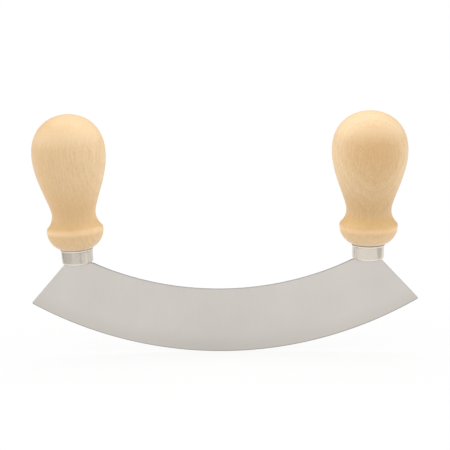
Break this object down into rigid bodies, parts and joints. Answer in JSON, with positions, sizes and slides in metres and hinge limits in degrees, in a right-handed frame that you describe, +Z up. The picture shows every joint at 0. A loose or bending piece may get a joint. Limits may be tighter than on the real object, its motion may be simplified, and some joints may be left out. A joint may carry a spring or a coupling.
{
  "type": "rocking pizza knife",
  "caption": "Crescent-shaped rocking knife blade, sharpened along its convex edge, with an upright turned beech handle set in a nickel-plated ferrule at each end.",
  "frame": {"origin": "lowest point of the cutting edge, midway between the handles and midway through the blade's thickness", "axes": "+X along the blade from the left handle to the right one, +Y through the blade's thickness, away from the pictured side, +Z up from the edge to the handles"},
  "size_m": [0.229, 0.0442, 0.144],
  "materials": {
    "stainless_steel": "fine satin, ground along the edge",
    "nickel_plate": "warm nickel plating, softly polished",
    "beech": "sanded, clear satin varnish",
    "resin": "cured, hidden inside the handle"
  },
  "bodies": {
    "root": {"blade": "stainless_steel", "left_ferrule": "nickel_plate", "right_ferrule": "nickel_plate", "left_handle": "beech", "right_handle": "beech", "left_tang_resin": "resin", "right_tang_resin": "resin"}
  },
  "joints": []
}
